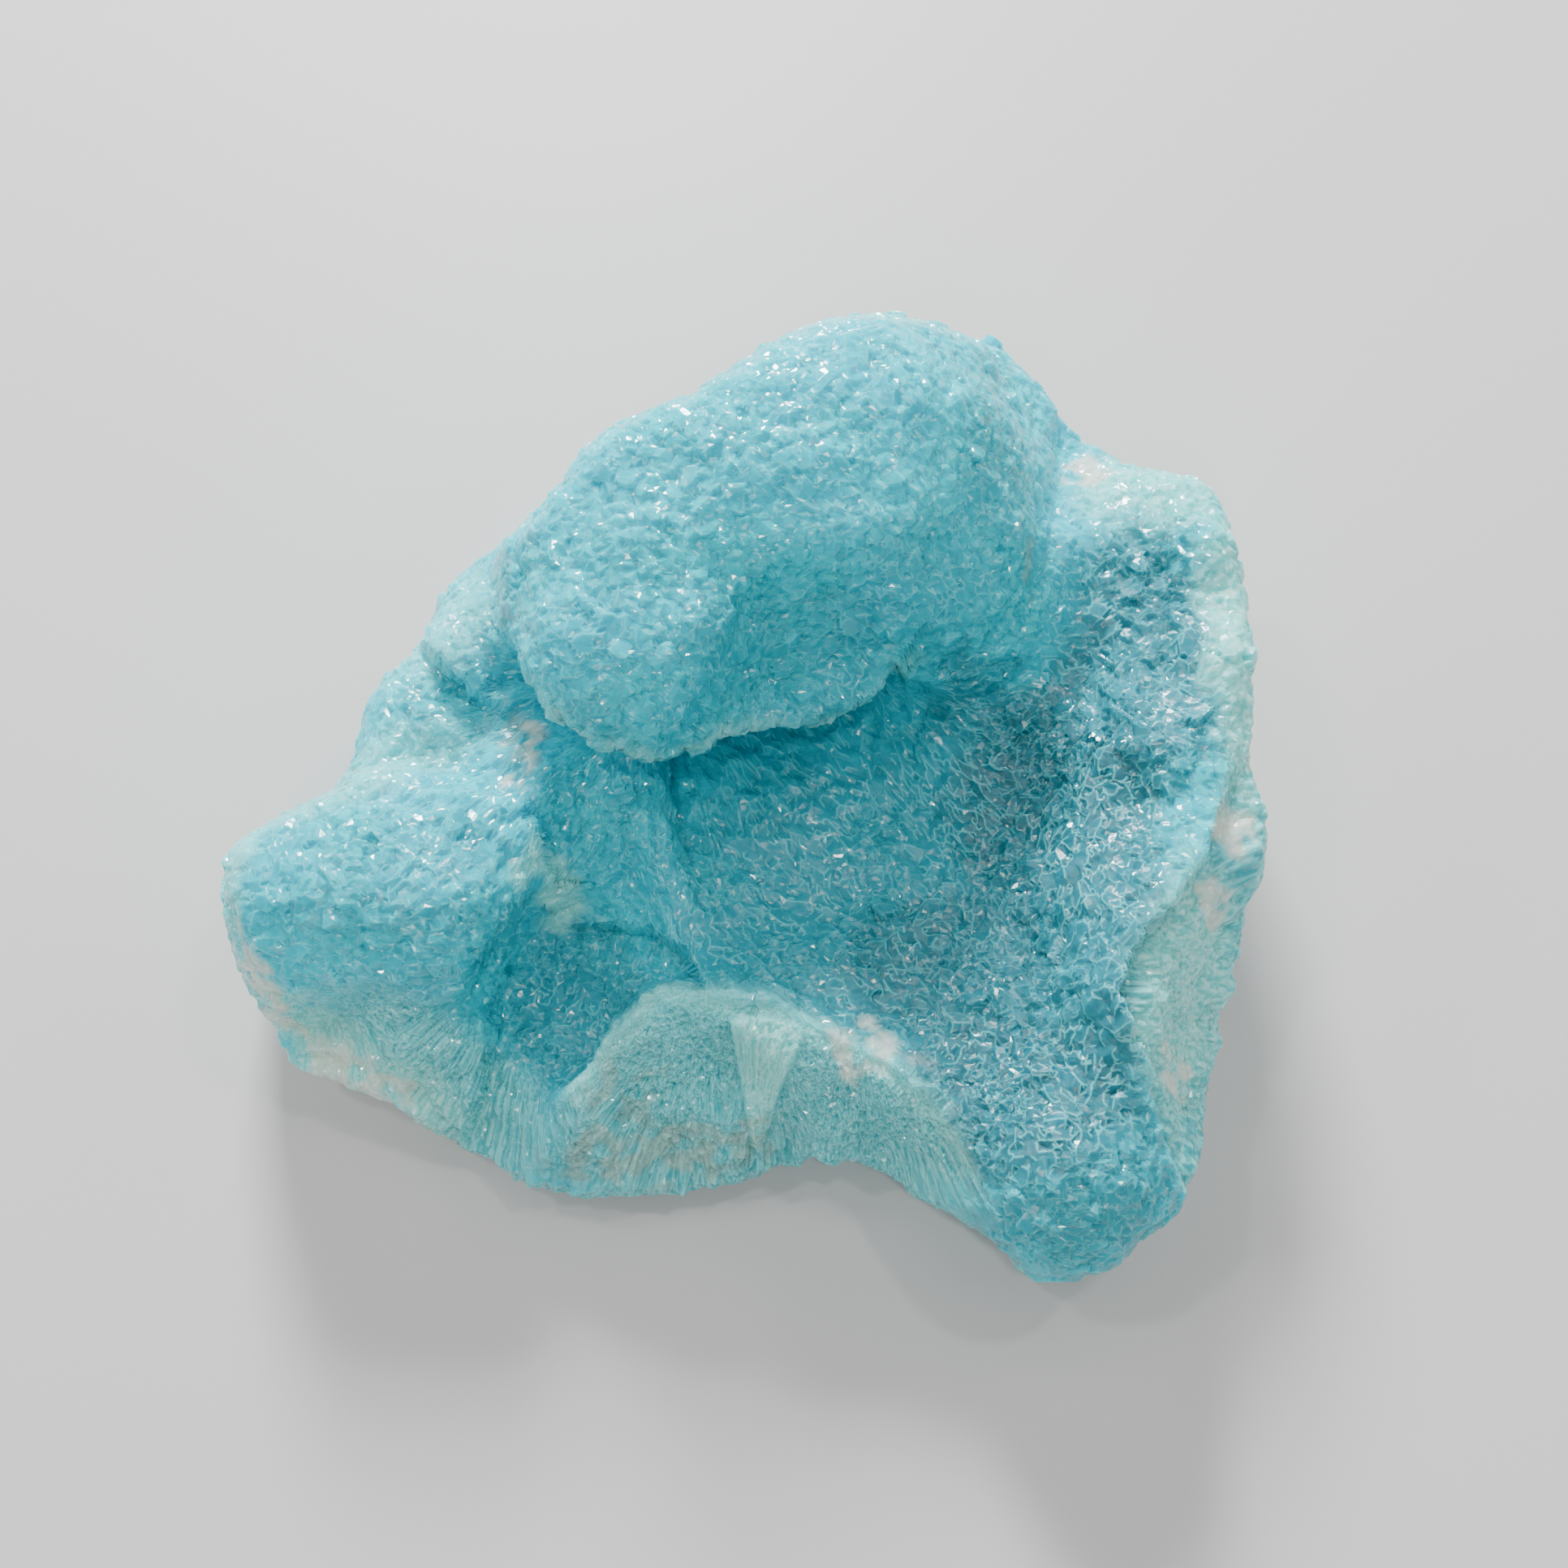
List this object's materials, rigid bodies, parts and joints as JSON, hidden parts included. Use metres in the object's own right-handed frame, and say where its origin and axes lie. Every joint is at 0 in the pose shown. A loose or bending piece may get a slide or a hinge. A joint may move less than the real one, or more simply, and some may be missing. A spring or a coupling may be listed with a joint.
{
  "type": "hemimorphite specimen",
  "caption": "Hand specimen of turquoise hemimorphite: a domed botryoidal crust of tiny crystals round a hollow, with a broken rim and a flat broken back to lie on",
  "frame": {"origin": "on the ground plane, midway across the stone in X and in Y; the ground plane is the plane of the flat back", "axes": "X runs across the stone, from the left tip to the broken right wall; Y runs from the broken lower edge to the great dome; Z points out of the back, through the grown front"},
  "size_m": [0.0506, 0.047, 0.0218],
  "materials": {
    "hemimorphite": "translucent, coated with tiny glassy crystals"
  },
  "bodies": {
    "root": {"hemimorphite": "hemimorphite"}
  },
  "joints": []
}
